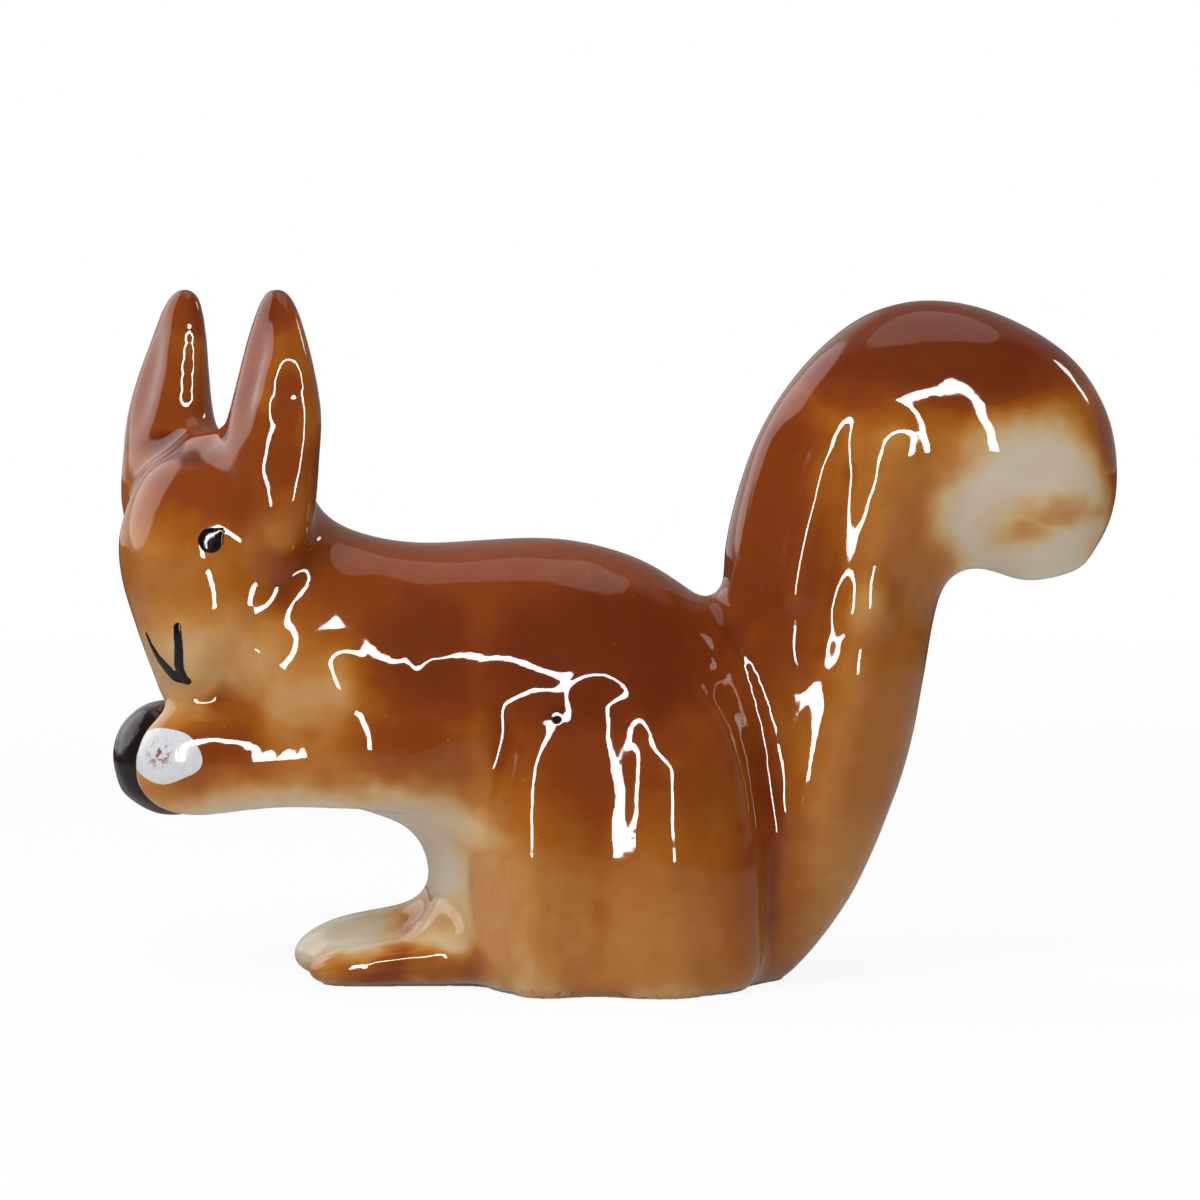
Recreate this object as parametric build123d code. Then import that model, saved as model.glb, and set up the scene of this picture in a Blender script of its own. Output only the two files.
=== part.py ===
"""A glazed porcelain squirrel, as the pieces that a potter casts and joins with slip.

The frame has +Z up, with the squirrel looking along -X and its left side at -Y.
The origin is on the shelf, at the middle of the whole figure's length and width.
"""
from build123d import *
from math import atan2, cos, degrees, radians, sin
import os

# The body: trunk, neck and both haunches are one hollow casting. Sizes are millimetres and degrees.
BODY_LENGTH = 26.0  # from the front of the belly to the rump
BODY_HEIGHT = 31.5  # from the shelf to the top of the back
BODY_WIDTH = 19.0  # across the trunk, without the haunches
HAUNCH_LENGTH = 20.7
HAUNCH_HEIGHT = 25.0
HAUNCH_THICKNESS = 12.5
HAUNCH_SPREAD = 12.4  # between the middles of the two haunches
WALL = 2.3  # of the three hollow castings
DRAIN_DIAMETER = 3.2  # the hole in the base that the slip is poured out of
VENT_DIAMETER = 1.8  # the ways that let air pass from one hollow to the next

# The tail, a hollow casting that rises behind the back and curls over backwards.
TAIL_REACH = 29.9
TAIL_HEIGHT = 48.5
TAIL_THICKNESS = 13.4

# The head, a hollow casting seated over the neck.
HEAD_DEPTH = 14.5  # from the brow to the back of the skull
HEAD_HEIGHT = 17.6  # from the crown to the chin
HEAD_WIDTH = 16.2
HEAD_TURN = 38.0  # towards the squirrel's left

# The ears, two solid leaves with a scooped front.
EAR_WIDTH = 8.2
EAR_HEIGHT = 15.8
EAR_THICKNESS = 5.8
EAR_SPREAD = 13.4  # between the middles of the two ears
EAR_TURN = 2.0  # outwards
EAR_LEAN = 5.0  # backwards
SCOOP_DEPTH = 1.0  # of the hollow in the front of the leaf
SCOOP_WIDTH = 4.0
SCOOP_HEIGHT = 11.0
SCOOP_LEAN = 10.0  # backwards, along the front of the leaf

# The forelegs, which hold the nut between their paws.
FORELEG_LENGTH = 19.0
FORELEG_DEPTH = 8.0
FORELEG_THICKNESS = 7.2
FORELEG_SPREAD = 9.8  # between the middles of the two shoulders
PAW_SPREAD = 5.6  # between the middles of the two paws
NUT_DIAMETER = 8.3

# The hind feet, which stand ahead of the haunches.
FOOT_LENGTH = 13.9
FOOT_WIDTH = 6.4
FOOT_SPREAD = 6.2  # between the middles of the two feet
LEFT_FOOT_HEIGHT = 3.3
RIGHT_FOOT_HEIGHT = 4.7
FOOT_STAGGER = 1.4  # how far the right foot stands ahead of the left

# The enamel marks, which lie flush in the glaze.
EYE_DIAMETER = 1.7
MOUTH_LINE = 0.6  # the width of the brushed line
MOUTH_WIDTH = 4.1
MOUTH_HEIGHT = 3.9
PATCH_LENGTH = 4.9
PATCH_HEIGHT = 4.3
ENAMEL = 0.25  # how deep each mark lies

OVERRUN = 1.0  # how far a cutter passes a face that it cuts
FACET = 0.2  # how closely the skin is followed when the figure's extent is measured
SECTION_POINTS = 12

# Where each piece sits on the one that carries it: shares of the carrier's length and height.
TAIL_SEAT_SHARE = 0.236
HAUNCH_SEAT_SHARE = 0.001
HEAD_SEAT_SHARES = (-1.087, 0.953)
EAR_SEAT_SHARES = (-0.016, 0.22)
FORELEG_SEAT_SHARES = (-0.588, 0.511)
NUT_SEAT_SHARES = (-0.868, -0.02)
FOOT_SEAT_SHARE = -0.312
DRAIN_SEAT_SHARE = -0.04

# Ribs. Each row is the lower or inner end (x, z), the upper or outer end (x, z) and the width,
# as shares of the piece's own length, height and width. A sixth share narrows the rib at its first
# end and widens it at the other.
BODY_RIB_SHARES = (
    (-0.430, 0.000, 0.425, 0.000, 0.86),
    (-0.456, 0.022, 0.452, 0.022, 0.91),
    (-0.482, 0.095, 0.486, 0.075, 0.96),
    (-0.500, 0.200, 0.511, 0.230, 1.00),
    (-0.510, 0.262, 0.503, 0.405, 1.02),
    (-0.528, 0.309, 0.470, 0.576, 1.03),
    (-0.560, 0.340, 0.360, 0.765, 1.02),
    (-0.606, 0.364, 0.168, 0.904, 1.00),
    (-0.667, 0.382, -0.038, 0.980, 0.97),
    (-0.740, 0.396, -0.231, 1.000, 0.94),
    (-0.821, 0.410, -0.423, 0.993, 0.90),
    (-0.910, 0.440, -0.588, 0.995, 0.85),
    (-1.000, 0.495, -0.735, 1.028, 0.77),
    (-1.075, 0.580, -0.835, 1.030, 0.64),
    (-1.100, 0.670, -0.930, 0.960, 0.44),
)
SOLID_NECK_RIBS = 3  # the last ribs, which the hollow doesn't reach
HAUNCH_RIB_SHARES = (
    (-0.430, 0.000, 0.440, 0.000, 0.84),
    (-0.460, 0.025, 0.470, 0.025, 0.90),
    (-0.490, 0.130, 0.495, 0.130, 0.96),
    (-0.505, 0.280, 0.500, 0.280, 1.00),
    (-0.500, 0.430, 0.495, 0.430, 1.00),
    (-0.470, 0.570, 0.475, 0.570, 0.96),
    (-0.410, 0.710, 0.435, 0.710, 0.87),
    (-0.320, 0.830, 0.365, 0.830, 0.73),
    (-0.210, 0.920, 0.270, 0.920, 0.54),
    (-0.090, 0.975, 0.160, 0.975, 0.32),
)
HAUNCH_TIP_SHARES = (0.035, 1.0)
TAIL_RIB_SHARES = (
    (0.150, -0.020, -0.024, 0.060, 0.50),
    (0.236, 0.025, -0.012, 0.145, 0.72),
    (0.362, 0.130, 0.053, 0.236, 0.88),
    (0.452, 0.256, 0.084, 0.341, 0.96),
    (0.515, 0.387, 0.080, 0.444, 1.00),
    (0.545, 0.505, 0.060, 0.545, 1.00),
    (0.572, 0.575, 0.060, 0.630, 1.00),
    (0.600, 0.598, 0.099, 0.738, 1.00),
    (0.624, 0.606, 0.187, 0.855, 1.00),
    (0.644, 0.609, 0.330, 0.953, 1.00),
    (0.662, 0.609, 0.538, 1.000, 1.00),
    (0.682, 0.606, 0.742, 0.972, 1.00),
    (0.706, 0.601, 0.887, 0.914, 0.97),
    (0.735, 0.595, 0.968, 0.831, 0.90),
    (0.770, 0.588, 0.992, 0.738, 0.74),
    (0.837, 0.592, 0.976, 0.678, 0.48),
)
TAIL_TIP_SHARES = (0.920, 0.626)
SOLID_ROOT_RIBS = 1  # the tail's first and last ribs, which its hollow doesn't reach
SOLID_END_RIBS = 5
HEAD_CROWN_SHARES = (-0.020, 0.505)
HEAD_RIB_SHARES = (
    (-0.190, 0.462, 0.180, 0.470, 0.36),
    (-0.310, 0.395, 0.320, 0.415, 0.58),
    (-0.400, 0.290, 0.420, 0.315, 0.78),
    (-0.455, 0.165, 0.475, 0.195, 0.90, 0.05),
    (-0.480, 0.060, 0.490, 0.080, 0.97, 0.08),
    (-0.472, -0.035, 0.470, -0.020, 0.98, 0.12),
    (-0.452, -0.125, 0.420, -0.115, 0.95, 0.18),
    (-0.425, -0.220, 0.330, -0.210, 0.85, 0.24),
    (-0.390, -0.320, 0.215, -0.310, 0.71, 0.28),
    (-0.350, -0.415, 0.110, -0.405, 0.57, 0.28),
    (-0.315, -0.500, 0.010, -0.490, 0.43, 0.25),
    (-0.290, -0.570, -0.080, -0.560, 0.31, 0.15),
)
HEAD_CHIN_SHARES = (-0.200, -0.645)
SOLID_CROWN_RIBS = 1  # the head's first and last ribs, which its hollow doesn't reach
SOLID_CHIN_RIBS = 4
EAR_RIB_SHARES = (
    (-0.16, -0.04, 0.30, -0.20, 0.60),
    (-0.34, 0.03, 0.42, -0.11, 0.85),
    (-0.46, 0.10, 0.47, 0.00, 0.98),
    (-0.51, 0.18, 0.49, 0.12, 1.02),
    (-0.52, 0.28, 0.49, 0.25, 1.00),
    (-0.50, 0.38, 0.50, 0.37, 0.91),
    (-0.46, 0.51, 0.46, 0.51, 0.78),
    (-0.42, 0.66, 0.37, 0.66, 0.64),
    (-0.37, 0.80, 0.26, 0.80, 0.50),
    (-0.30, 0.91, 0.14, 0.91, 0.37),
    (-0.24, 0.97, 0.03, 0.97, 0.22),
)
EAR_TIP_SHARES = (-0.10, 1.00)
SCOOP_SEAT_SHARES = (-0.45, 0.57)  # of the ear's thickness and height
FORELEG_RIB_SHARES = (
    (0.20, -0.40, 0.12, 0.55, 0.80),
    (-0.02, -0.45, -0.04, 0.52, 1.00),
    (-0.26, -0.42, -0.28, 0.46, 0.94),
    (-0.50, -0.43, -0.51, 0.42, 0.86),
    (-0.70, -0.49, -0.70, 0.46, 0.84),
    (-0.84, -0.49, -0.84, 0.44, 0.80),
    (-0.94, -0.38, -0.94, 0.30, 0.60),
)
FORELEG_TIP_SHARES = (-1.0, -0.06)
PATCH_SEAT_SHARES = (-0.87, 0.02)
FOOT_RIB_SHARES = (
    (0.10, -0.04, -0.02, 2.10, 0.80),
    (-0.10, -0.04, -0.15, 1.50, 0.98),
    (-0.30, -0.04, -0.33, 1.16, 1.00),
    (-0.52, -0.04, -0.53, 0.98, 0.98),
    (-0.75, -0.04, -0.74, 0.84, 0.90),
    (-0.91, 0.02, -0.90, 0.64, 0.68),
)
FOOT_TIP_SHARES = (-1.0, 0.30)
EYE_BEARING = 49.0  # degrees from straight ahead to each eye
EYE_SEAT_SHARE = 0.093  # of the head's height, above its middle
MOUTH_SEAT_SHARE = -0.495  # of the head's height, where the two strokes meet


def rib(low, high, half_width, middle, taper=0.0):
    """A closed oval from low to high in the profile, half_width to each side of middle.

    taper narrows it at the low end and widens it at the high one.
    """
    low, high = Vector(low.X, middle, low.Y), Vector(high.X, middle, high.Y)
    centre, reach = (low + high) / 2, (high - low) / 2
    side = Vector(0, half_width, 0)
    points = []
    for step in range(SECTION_POINTS):
        angle = radians(360 * step / SECTION_POINTS)
        fullness = sin(angle) * (1 + taper * cos(angle))
        points.append(centre + reach * cos(angle) + side * fullness)
    shares = [step / SECTION_POINTS for step in range(SECTION_POINTS + 1)]
    return Wire([Edge.make_spline(points, periodic=True, parameters=shares)])


def form(rib_shares, length, height, width, start=None, tip=None, inset=0.0, close_in=0.0):
    """A closed solid through a table of ribs, pointed at start and tip if these are given.

    inset draws its skin inwards. close_in moves it sideways as it runs towards -x.
    """
    sections, middles = [], []
    for x_low, z_low, x_high, z_high, width_share, *taper in rib_shares:
        low = Vector(x_low * length, z_low * height)
        high = Vector(x_high * length, z_high * height)
        pull = (high - low).normalized() * inset
        middle = -close_in * (x_low + x_high) / 2
        middles.append(Vector((low + high).X / 2, middle, (low + high).Y / 2))
        half_width = width_share * width / 2 - inset
        sections.append(rib(low + pull, high - pull, half_width, middle, *taper))
    for place, point, near in ((0, start, middles[0]), (len(sections) + 1, tip, middles[-1])):
        if point:
            point = Vector(point[0] * length, -close_in * point[0], point[1] * height)
            sections.insert(place, Vertex(point + (near - point).normalized() * inset))
    return Solid.make_loft(sections)


def above(solid, level):
    """What of the solid lies above a level."""
    return split(solid, bisect_by=Plane.XY.offset(level), keep=Keep.TOP)


def way(start, finish, diameter):
    """A round hole from start to finish."""
    run = finish - start
    return Solid.make_cylinder(diameter / 2, run.length, Plane(origin=start, z_dir=run))


def rib_middle(row, length, height):
    """The middle of a rib, in the profile."""
    return Vector((row[0] + row[2]) / 2 * length, 0, (row[1] + row[3]) / 2 * height)


def casting(inset=0.0):
    """The trunk and both haunches as one solid, or the hollow in them when drawn in by inset."""
    ribs = BODY_RIB_SHARES[:-SOLID_NECK_RIBS] if inset else BODY_RIB_SHARES
    solid = form(ribs, BODY_LENGTH, BODY_HEIGHT, BODY_WIDTH, inset=inset)
    haunch = form(
        HAUNCH_RIB_SHARES[:-1] if inset else HAUNCH_RIB_SHARES,
        HAUNCH_LENGTH, HAUNCH_HEIGHT, HAUNCH_THICKNESS,
        tip=None if inset else HAUNCH_TIP_SHARES, inset=inset,
    )
    for side in (-1, 1):
        solid += Pos(HAUNCH_SEAT_SHARE * BODY_LENGTH, side * HAUNCH_SPREAD / 2, 0) * haunch
    return solid


def tail_form(inset=0.0):
    """The tail, or the hollow in it when drawn in by inset."""
    if inset:
        ribs, tip = TAIL_RIB_SHARES[SOLID_ROOT_RIBS:-SOLID_END_RIBS], None
    else:
        ribs, tip = TAIL_RIB_SHARES, TAIL_TIP_SHARES
    return TAIL_PLACE * form(ribs, TAIL_REACH, TAIL_HEIGHT, TAIL_THICKNESS, tip=tip, inset=inset)


def head_form(inset=0.0):
    """The skull and muzzle about their own middle, looking along -x."""
    return form(
        HEAD_RIB_SHARES, HEAD_DEPTH, HEAD_HEIGHT, HEAD_WIDTH,
        start=HEAD_CROWN_SHARES, tip=HEAD_CHIN_SHARES, inset=inset,
    )


def head_hollow():
    """The hollow in the skull."""
    ribs = HEAD_RIB_SHARES[SOLID_CROWN_RIBS:-SOLID_CHIN_RIBS]
    return form(ribs, HEAD_DEPTH, HEAD_HEIGHT, HEAD_WIDTH, inset=WALL)


def ear(side):
    """One ear: a leaf that faces forwards, scooped, and turned a little outwards."""
    leaf = Rot(0, 0, 90) * form(
        EAR_RIB_SHARES, EAR_WIDTH, EAR_HEIGHT, EAR_THICKNESS, tip=EAR_TIP_SHARES
    )
    flatness = (2 * SCOOP_DEPTH / SCOOP_HEIGHT, SCOOP_WIDTH / SCOOP_HEIGHT, 1)
    bowl = Rot(0, SCOOP_LEAN, 0) * scale(Sphere(SCOOP_HEIGHT / 2), by=flatness)
    leaf -= Pos(SCOOP_SEAT_SHARES[0] * EAR_THICKNESS, 0, SCOOP_SEAT_SHARES[1] * EAR_HEIGHT) * bowl
    if side < 0:
        leaf = mirror(leaf, about=Plane.XZ)
    x_share, z_share = EAR_SEAT_SHARES
    seat = Pos(x_share * HEAD_DEPTH, side * EAR_SPREAD / 2, z_share * HEAD_HEIGHT)
    return HEAD_PLACE * seat * Rot(0, EAR_LEAN, -side * EAR_TURN) * leaf


def foreleg(side, inset=0.0):
    """One foreleg, from the shoulder to the paw beside the nut."""
    leg = form(
        FORELEG_RIB_SHARES, FORELEG_LENGTH, FORELEG_DEPTH, FORELEG_THICKNESS,
        tip=FORELEG_TIP_SHARES, inset=inset, close_in=side * (PAW_SPREAD - FORELEG_SPREAD) / 2,
    )
    return FORELEG_PLACE * Pos(0, side * FORELEG_SPREAD / 2, 0) * leg


def hind_foot(side, height, ahead):
    """One hind foot, from the ankle inside the body to the toes."""
    foot = form(FOOT_RIB_SHARES, FOOT_LENGTH, height, FOOT_WIDTH, tip=FOOT_TIP_SHARES)
    seat = Pos(FOOT_SEAT_SHARE * BODY_LENGTH - ahead, side * FOOT_SPREAD / 2, 0)
    return above(seat * foot, 0)


def eye_cutter(side):
    """A round bar from the middle of the skull out through one eye."""
    bearing = radians(EYE_BEARING)
    level = EYE_SEAT_SHARE * HEAD_HEIGHT
    out = Vector(-cos(bearing) * HEAD_DEPTH, side * sin(bearing) * HEAD_WIDTH, level)
    return HEAD_PLACE * way(Vector(0, 0, level), out, EYE_DIAMETER)


def mouth_cutter():
    """The V of two brush strokes, as a bar that runs out through the front of the muzzle."""
    level = MOUTH_SEAT_SHARE * HEAD_HEIGHT
    foot = Vector(0, level)
    mark = Pos(foot.X, foot.Y) * Circle(MOUTH_LINE / 2)
    for side in (-1, 1):
        top = Vector(side * MOUTH_WIDTH / 2, level + MOUTH_HEIGHT)
        run, middle = top - foot, (top + foot) / 2
        turn = degrees(atan2(run.Y, run.X))
        mark += Pos(middle.X, middle.Y) * Rot(0, 0, turn) * Rectangle(run.length, MOUTH_LINE)
        mark += Pos(top.X, top.Y) * Circle(MOUTH_LINE / 2)
    start = Pos(HEAD_CHIN_SHARES[0] * HEAD_DEPTH, 0, 0)
    return HEAD_PLACE * start * extrude(Plane.YZ * mark, -HEAD_DEPTH)


def patch_cutter():
    """An oval bar that runs out through the outer side of the left paw."""
    x_share, z_share = PATCH_SEAT_SHARES
    mark = Pos(x_share * FORELEG_LENGTH, z_share * FORELEG_DEPTH) * Ellipse(
        PATCH_LENGTH / 2, PATCH_HEIGHT / 2
    )
    seat = Pos(0, -PAW_SPREAD / 2, 0)
    return FORELEG_PLACE * seat * extrude(Plane.XZ * mark, FORELEG_THICKNESS)


def shelf_centre(pieces):
    """The middle of all the pieces' length and width, on the shelf."""
    points = [point for piece in pieces for point in piece.tessellate(FACET)[0]]
    x, y = [point.X for point in points], [point.Y for point in points]
    return Vector((min(x) + max(x)) / 2, (min(y) + max(y)) / 2, 0)


TAIL_PLACE = Pos(TAIL_SEAT_SHARE * BODY_LENGTH, 0, 0)
HEAD_PLACE = Pos(
    HEAD_SEAT_SHARES[0] * BODY_LENGTH, 0, HEAD_SEAT_SHARES[1] * BODY_HEIGHT
) * Rot(0, 0, HEAD_TURN)
FORELEG_PLACE = Pos(
    FORELEG_SEAT_SHARES[0] * BODY_LENGTH, 0, FORELEG_SEAT_SHARES[1] * BODY_HEIGHT
)
NUT_PLACE = FORELEG_PLACE * Pos(
    NUT_SEAT_SHARES[0] * FORELEG_LENGTH, 0, NUT_SEAT_SHARES[1] * FORELEG_DEPTH
)


def figure():
    """All the pieces by name."""
    trunk, skull, nut = casting(), HEAD_PLACE * head_form(), NUT_PLACE * Sphere(NUT_DIAMETER / 2)
    neck_vent = way(
        rib_middle(BODY_RIB_SHARES[-SOLID_NECK_RIBS - 1], BODY_LENGTH, BODY_HEIGHT),
        HEAD_PLACE.position, VENT_DIAMETER,
    )
    tail_middle = rib_middle(TAIL_RIB_SHARES[SOLID_ROOT_RIBS + 1], TAIL_REACH, TAIL_HEIGHT)
    tail_middle += TAIL_PLACE.position
    tail_vent = way(Vector(0, 0, tail_middle.Z), tail_middle, VENT_DIAMETER)
    drain_foot = Vector(DRAIN_SEAT_SHARE * BODY_LENGTH, 0, -OVERRUN)
    drain = way(drain_foot, drain_foot + Vector(0, 0, WALL + 2 * OVERRUN), DRAIN_DIAMETER)

    pieces = {}
    pieces["body"] = trunk - above(casting(WALL), WALL) - neck_vent - tail_vent - drain
    pieces["tail"] = above(tail_form(), 0) - trunk - tail_form(WALL) - tail_vent
    pieces["nut"] = nut - trunk

    head, skin_core = skull - trunk, HEAD_PLACE * head_form(ENAMEL)
    head -= nut
    for side, name in ((-1, "left"), (1, "right")):
        pieces[name + "_ear"] = ear(side) - skull - trunk
        pieces[name + "_eye"] = (head & eye_cutter(side)) - skin_core
        leg = foreleg(side) - trunk - nut - skull
        pieces[name + "_foreleg"] = leg
    pieces["mouth_line"] = (head & mouth_cutter()) - skin_core
    for name in ("left_eye", "right_eye", "mouth_line"):
        head -= pieces[name]
    pieces["head"] = head - HEAD_PLACE * head_hollow()

    pieces["right_foreleg"] -= pieces["left_foreleg"]
    pieces["left_paw_patch"] = (pieces["left_foreleg"] & patch_cutter()) - foreleg(-1, ENAMEL)
    pieces["left_foreleg"] -= pieces["left_paw_patch"]

    pieces["left_hind_foot"] = hind_foot(-1, LEFT_FOOT_HEIGHT, 0) - trunk
    pieces["right_hind_foot"] = hind_foot(1, RIGHT_FOOT_HEIGHT, FOOT_STAGGER) - trunk
    pieces["right_hind_foot"] -= pieces["left_hind_foot"]
    return pieces


os.makedirs("parts", exist_ok=True)
pieces = figure()
centre = shelf_centre(pieces.values())
for name, piece in pieces.items():
    export_step(Pos(-centre) * piece, f"parts/{name}.step")
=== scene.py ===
# %% [markdown]
# # A glazed porcelain squirrel
# The real figure is a 72 mm ornament. It was slip cast in pieces, joined with slip, sprayed with
# a brown stain, dipped in a clear glaze and fired, and then a few marks were brushed on in enamel.
# The measured model gives every piece its place and size. It is loaded first and never changed:
# each piece below is built around it, in the same frame, in metres.

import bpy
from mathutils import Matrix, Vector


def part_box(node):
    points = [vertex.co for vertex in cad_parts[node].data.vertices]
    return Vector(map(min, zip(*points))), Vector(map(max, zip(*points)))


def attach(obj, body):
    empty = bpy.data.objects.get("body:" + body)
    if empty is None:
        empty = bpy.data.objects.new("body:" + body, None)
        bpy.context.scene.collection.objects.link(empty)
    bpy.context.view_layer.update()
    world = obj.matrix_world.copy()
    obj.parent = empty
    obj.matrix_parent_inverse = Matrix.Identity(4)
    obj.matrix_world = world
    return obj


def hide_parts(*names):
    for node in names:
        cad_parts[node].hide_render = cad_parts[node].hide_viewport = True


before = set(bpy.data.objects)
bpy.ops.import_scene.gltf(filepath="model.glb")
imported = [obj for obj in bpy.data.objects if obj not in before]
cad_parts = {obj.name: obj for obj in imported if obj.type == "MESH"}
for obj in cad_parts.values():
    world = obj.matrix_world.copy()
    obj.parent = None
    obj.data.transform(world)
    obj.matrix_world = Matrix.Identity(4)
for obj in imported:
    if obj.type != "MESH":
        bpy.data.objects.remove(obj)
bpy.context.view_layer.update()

# %% [markdown]
# ## Camera
# A small ornament is photographed from close by, with a long lens, almost level with the table.
# The picture takes in 85.7 mm of width at the figure, so the lens follows from that and from how
# far away the camera stands. It could stand nearer with a shorter lens, but the near ear would then
# look larger than the far one, and in the photograph they are alike.

# %% Camera
import math

import bpy
from mathutils import Vector

AIM = Vector((-0.0010, 0.0, 0.02714))
CAMERA_DISTANCE = 0.350
CAMERA_RISE = math.radians(3)
PICTURE_WIDTH = 0.0857
SENSOR = 36.0
NEAREST_SEEN = 0.01

camera_data = bpy.data.cameras.new("camera")
camera_data.sensor_width = SENSOR
camera_data.lens = SENSOR * CAMERA_DISTANCE / PICTURE_WIDTH
camera_data.clip_start = NEAREST_SEEN
camera = bpy.data.objects.new("camera", camera_data)
bpy.context.scene.collection.objects.link(camera)
bpy.context.scene.camera = camera
to_camera = Vector((0, -math.cos(CAMERA_RISE), math.sin(CAMERA_RISE)))
camera.location = AIM + to_camera * CAMERA_DISTANCE
camera.rotation_mode = "QUATERNION"
camera.rotation_quaternion = (-to_camera).to_track_quat("-Z", "Y")
print("lens, mm:", round(camera_data.lens, 1))

# %% [markdown]
# ## The clay
# Trunk, head and tail are hollow castings, and ears, forelegs and feet are pressed solid. Once they
# are stuck together they are one clay body, so one skin is made from copies of their measured
# meshes. A plug shuts the drain hole in the base first. That way the hollow inside hangs together
# with nothing outside, and can be thrown away later.
# All of this works in millimetres, which are handier numbers here.

# %% Copies of the measured pieces
import bmesh
import numpy as np

MM = 1000.0
DRAIN_PLACE = Vector((-0.98, 0.0, 0.0))
DRAIN_RADIUS = 1.6
PLUG_RADIUS, PLUG_HEIGHT, PLUG_SIDES = 2.1, 2.1, 48
PLUG_MIDDLE = 0.55 * PLUG_HEIGHT


def add_plug(clay):
    """Shuts the drain hole in the base."""
    made = bmesh.ops.create_cone(clay, cap_ends=True, segments=PLUG_SIDES, radius1=PLUG_RADIUS,
                                 radius2=PLUG_RADIUS, depth=PLUG_HEIGHT)
    bmesh.ops.translate(clay, verts=made["verts"], vec=DRAIN_PLACE + Vector((0, 0, PLUG_MIDDLE)))


def as_mesh(clay):
    """The bmesh as a new mesh."""
    mesh = bpy.data.meshes.new("clay")
    clay.to_mesh(mesh)
    clay.free()
    return mesh


def joined(names):
    """One mesh, in millimetres, of copies of the measured meshes."""
    clay = bmesh.new()
    for name in names:
        clay.from_mesh(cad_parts[name].data)
    bmesh.ops.scale(clay, vec=(MM, MM, MM), verts=clay.verts)
    if "body" in names:
        add_plug(clay)
    return as_mesh(clay)


print("measured pieces:", sorted(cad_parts))

# %% [markdown]
# ## Melting
# The Boolean modifier could unite the pieces, but it would leave a hard crease at every joint. The
# Remesh modifier in voxel mode does what wet slip does: it melts whatever touches into one closed
# surface with even quads. Of what comes out, only the outside is kept: starting from the highest
# point, everything that hangs together with it.

# %% Melt, and keep the outside
def shaped(mesh, kind, **settings):
    """The mesh after one modifier."""
    thing = bpy.data.objects.new("workpiece", mesh)
    bpy.context.scene.collection.objects.link(thing)
    modifier = thing.modifiers.new("shape", kind)
    for name, value in settings.items():
        setattr(modifier, name, value)
    shown = thing.evaluated_get(bpy.context.evaluated_depsgraph_get())
    result = bpy.data.meshes.new_from_object(shown)
    bpy.data.objects.remove(thing)
    return result


def melted(mesh, voxel):
    """The mesh, melted into one surface of quads as large as a voxel."""
    return shaped(mesh, "REMESH", mode="VOXEL", voxel_size=voxel)


def outer_island(mesh):
    """The part of the mesh that hangs together with its highest point."""
    clay = bmesh.new()
    clay.from_mesh(mesh)
    first = max(clay.verts, key=lambda corner: corner.co.z)
    seen, front = {first}, [first]
    while front:
        corner = front.pop()
        for edge in corner.link_edges:
            other = edge.other_vert(corner)
            if other not in seen:
                seen.add(other)
                front.append(other)
    inner = [corner for corner in clay.verts if corner not in seen]
    bmesh.ops.delete(clay, geom=inner, context="VERTS")
    return as_mesh(clay)


# %% [markdown]
# ## Slip in the joints
# A wet brush of slip leaves a fillet wherever two pieces meet, wide at the nape and narrow between
# the ears. Growing a group of pieces outwards, melting it and shrinking it back by as much fills
# each inner corner with a fillet of that radius, and leaves the outer curves as they were. Each
# joint gets a group and a radius of its own, and then all the groups melt into one skin. A Bevel
# modifier could round the joints too, but it needs clean edges, which melted clay doesn't have.

# %% Fill the joints
HEAD = ("head", "left_eye", "right_eye", "mouth_line")
FORELEGS = ("left_foreleg", "right_foreleg", "left_paw_patch")
FEET = ("left_hind_foot", "right_hind_foot")
ROUGH_VOXEL, FINE_VOXEL = 0.34, 0.23
JOINTS = (  # pieces that meet, and the radius of their fillet
    (("body",) + FEET, 2.6),
    (("body",) + HEAD, 1.8),
    (("body",) + FORELEGS, 1.6),
    (HEAD + FORELEGS, 0.9),
    (HEAD + ("left_ear",), 1.8),
    (HEAD + ("right_ear",), 1.8),
    (("body", "tail") + HEAD, 0.95),
)


def points_of(mesh):
    """The places of the mesh's points, one row each."""
    flat = np.empty(3 * len(mesh.vertices), np.float32)
    mesh.vertices.foreach_get("co", flat)
    return flat.reshape(-1, 3).astype(float)


def normals_of(mesh):
    """The outward direction at each point of the mesh."""
    flat = np.empty(3 * len(mesh.vertices), np.float32)
    mesh.vertex_normals.foreach_get("vector", flat)
    return flat.reshape(-1, 3).astype(float)


def moved(mesh, points):
    """The mesh, with its points put at these places."""
    mesh.vertices.foreach_set("co", points.astype(np.float32).ravel())
    mesh.update()
    return mesh


together = bmesh.new()
for names, fillet in JOINTS:
    group = melted(joined(names), ROUGH_VOXEL)
    for step in (fillet, -fillet):
        group = melted(moved(group, points_of(group) + step * normals_of(group)), ROUGH_VOXEL)
    together.from_mesh(group)
skin_mesh = outer_island(melted(as_mesh(together), FINE_VOXEL))
print("skin:", len(skin_mesh.vertices), "points")

# %% [markdown]
# ## Working the wet clay
# A potter rubs the clay with a damp sponge, and presses it with a thumb. Both are simple sums on
# the points. Sponging moves each point towards the mean of its neighbours, and with a slightly
# longer step back after each one, thin ears don't shrink. A stroke lifts or presses the skin along
# a line. A mask that fades out keeps either of them local. Sculpting by hand would do the same, but
# sums can be repeated and changed.

# %% Sponge and thumb
from mathutils.bvhtree import BVHTree

STEP_IN, STEP_BACK = 0.5, -0.52


def fade(share):
    """1 at share 0 and 0 from share 1 on, with soft ends."""
    share = np.clip(share, 0, 1)
    return 1 - share * share * (3 - 2 * share)


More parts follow.
